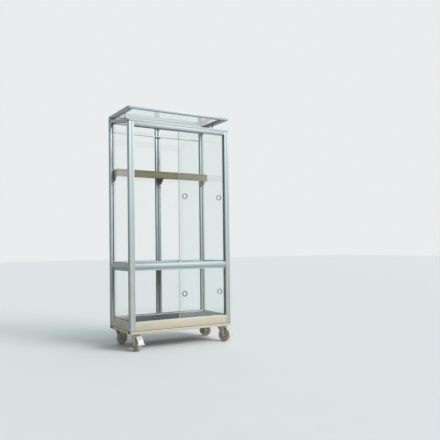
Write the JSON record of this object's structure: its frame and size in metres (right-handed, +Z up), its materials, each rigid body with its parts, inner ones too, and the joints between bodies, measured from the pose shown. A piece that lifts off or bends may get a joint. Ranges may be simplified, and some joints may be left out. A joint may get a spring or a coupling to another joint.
{
  "type": "wheeled glass greenhouse cabinet",
  "caption": "Tall narrow greenhouse cabinet of aluminium profiles and glass on castors, with sliding glass doors, a middle floor, a wooden shelf and a hinged glass lid on props.",
  "frame": {"origin": "on the floor, under the centre of the footprint, brake pedals included", "axes": "+X to the right seen from the front, +Y to the rear, +Z up"},
  "size_m": [0.8724, 0.4787, 1.808],
  "materials": {
    "aluminium": "satin mill-finish profile",
    "glass": "clear, faintly green at the edges",
    "shelf_wood": "weathered, unpainted",
    "floor_sheet": "plain rolled sheet",
    "prop_steel": "dark satin paint",
    "zinc_steel": "zinc plated",
    "castor_wheel": "grey plastic hub with a dark rubber tread"
  },
  "bodies": {
    "cabinet": {"front_left_post": "aluminium", "front_right_post": "aluminium", "rear_left_post": "aluminium", "rear_right_post": "aluminium", "front_base": "aluminium", "rear_base": "aluminium", "left_base": "aluminium", "right_base": "aluminium", "corner_gussets": "zinc_steel", "base_floor": "floor_sheet", "front_mid_rail": "aluminium", "left_mid_rail": "aluminium", "right_mid_rail": "aluminium", "rear_mid_rail": "aluminium", "mid_floor": "floor_sheet", "front_top_rail": "aluminium", "front_head_rail": "aluminium", "rear_top_rail": "aluminium", "left_top_rail": "aluminium", "right_top_rail": "aluminium", "left_glass": "glass", "right_glass": "glass", "rear_glass": "glass", "rear_mullion": "aluminium", "hanging_bar": "aluminium", "shelf_board": "shelf_wood", "shelf_fascia": "shelf_wood", "shelf_brackets": "shelf_wood", "hinge_bar": "aluminium", "castor_plates": "zinc_steel"},
    "lid": {"lid_hinge_rail": "aluminium", "lid_front_rail": "aluminium", "lid_left_rail": "aluminium", "lid_right_rail": "aluminium", "lid_glass": "glass"},
    "left_prop": {"left_lid_prop": "prop_steel"},
    "right_prop": {"right_lid_prop": "prop_steel"},
    "upper_left_door": {"upper_left_pane": "glass"},
    "upper_right_door": {"upper_right_pane": "glass"},
    "lower_left_door": {"lower_left_pane": "glass"},
    "lower_right_door": {"lower_right_pane": "glass"},
    "front_left_castor": {"front_left_fork": "zinc_steel"},
    "front_left_wheel": {"front_left_wheel": "castor_wheel"},
    "front_left_brake": {"front_left_pedal": "zinc_steel"},
    "front_right_castor": {"front_right_fork": "zinc_steel"},
    "front_right_wheel": {"front_right_wheel": "castor_wheel"},
    "front_right_brake": {"front_right_pedal": "zinc_steel"},
    "rear_left_castor": {"rear_left_fork": "zinc_steel"},
    "rear_left_wheel": {"rear_left_wheel": "castor_wheel"},
    "rear_right_castor": {"rear_right_fork": "zinc_steel"},
    "rear_right_wheel": {"rear_right_wheel": "castor_wheel"}
  },
  "joints": [
    {"name": "lid_hinge", "type": "hinge", "parent": "cabinet", "child": "lid", "pos_m": [0, 0.227, 1.79698], "axis": [1, 0, 0], "range_deg": [0, 10.4]},
    {"name": "left_prop_pivot", "type": "hinge", "parent": "cabinet", "child": "left_prop", "pos_m": [-0.388, -0.008, 1.72926], "axis": [1, 0, 0], "range_deg": [0, 101]},
    {"name": "right_prop_pivot", "type": "hinge", "parent": "cabinet", "child": "right_prop", "pos_m": [0.388, -0.008, 1.72926], "axis": [1, 0, 0], "range_deg": [0, 101]},
    {"name": "upper_left_slide", "type": "slide", "parent": "cabinet", "child": "upper_left_door", "axis": [1, 0, 0], "range_m": [-0.384, 0.002]},
    {"name": "upper_right_slide", "type": "slide", "parent": "cabinet", "child": "upper_right_door", "axis": [1, 0, 0], "range_m": [-0.386, 0]},
    {"name": "lower_left_slide", "type": "slide", "parent": "cabinet", "child": "lower_left_door", "axis": [1, 0, 0], "range_m": [-0.376, 0.01]},
    {"name": "lower_right_slide", "type": "slide", "parent": "cabinet", "child": "lower_right_door", "axis": [1, 0, 0], "range_m": [-0.386, 0]},
    {"name": "front_left_swivel", "type": "hinge", "parent": "cabinet", "child": "front_left_castor", "pos_m": [-0.374, -0.137, 0.12], "axis": [0, 0, 1], "continuous": true},
    {"name": "front_left_roll", "type": "hinge", "parent": "front_left_castor", "child": "front_left_wheel", "pos_m": [-0.37121, -0.16888, 0.05], "axis": [0.9962, 0.0872, 0], "continuous": true},
    {"name": "front_left_brake_pedal", "type": "hinge", "parent": "front_left_castor", "child": "front_left_brake", "pos_m": [-0.37139, -0.16689, 0.11], "axis": [0.9962, 0.0872, 0], "range_deg": [0, 10]},
    {"name": "front_right_swivel", "type": "hinge", "parent": "cabinet", "child": "front_right_castor", "pos_m": [0.374, -0.137, 0.12], "axis": [0, 0, 1], "continuous": true},
    {"name": "front_right_roll", "type": "hinge", "parent": "front_right_castor", "child": "front_right_wheel", "pos_m": [0.38702, -0.16623, 0.05], "axis": [0.9135, 0.4067, 0], "continuous": true},
    {"name": "front_right_brake_pedal", "type": "hinge", "parent": "front_right_castor", "child": "front_right_brake", "pos_m": [0.3862, -0.16441, 0.11], "axis": [0.9135, 0.4067, 0], "range_deg": [0, 10]},
    {"name": "rear_left_swivel", "type": "hinge", "parent": "cabinet", "child": "rear_left_castor", "pos_m": [-0.374, 0.183, 0.12], "axis": [0, 0, 1], "continuous": true},
    {"name": "rear_left_roll", "type": "hinge", "parent": "rear_left_castor", "child": "rear_left_wheel", "pos_m": [-0.34575, 0.19802, 0.05], "axis": [-0.4695, 0.8829, 0], "continuous": true},
    {"name": "rear_right_swivel", "type": "hinge", "parent": "cabinet", "child": "rear_right_castor", "pos_m": [0.374, 0.183, 0.12], "axis": [0, 0, 1], "continuous": true},
    {"name": "rear_right_roll", "type": "hinge", "parent": "rear_right_castor", "child": "rear_right_wheel", "pos_m": [0.3974, 0.16118, 0.05], "axis": [0.682, 0.7314, 0], "continuous": true}
  ],
  "couplings": [
    {"joint": "left_prop_pivot", "follows": "lid_hinge", "ratio": 9.58},
    {"joint": "right_prop_pivot", "follows": "lid_hinge", "ratio": 9.58}
  ]
}
